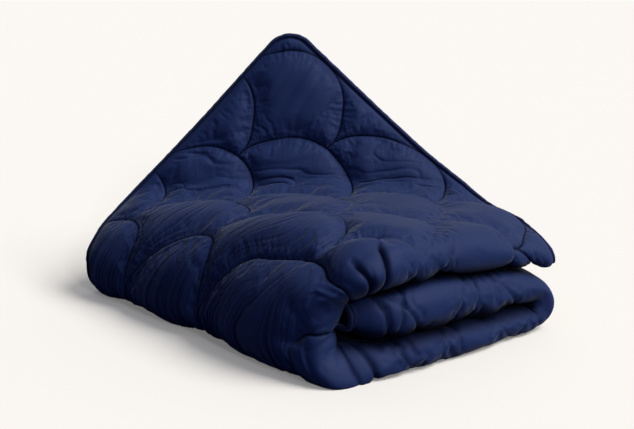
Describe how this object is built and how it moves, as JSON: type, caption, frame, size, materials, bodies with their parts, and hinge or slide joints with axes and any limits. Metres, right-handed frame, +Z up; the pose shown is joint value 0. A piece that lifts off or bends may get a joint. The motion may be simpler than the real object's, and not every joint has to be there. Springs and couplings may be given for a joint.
{
  "type": "duvet",
  "caption": "Clamshell-quilted duvet with a bound edge, folded into a soft stack with a corner turned up",
  "frame": {"origin": "on the surface it rests on, under the middle of the folded stack's bounding box", "axes": "+Z up, +X towards the free end of the top layer, -Y towards the half fold, the turned-up corner is at +X +Y"},
  "size_m": [0.7708, 1.0162, 0.6673],
  "materials": {
    "navy_fabric": "matt brushed microfibre",
    "navy_tape": "matt woven tape"
  },
  "bodies": {
    "root": {"quilt": "navy_fabric", "binding": "navy_tape"}
  },
  "joints": []
}
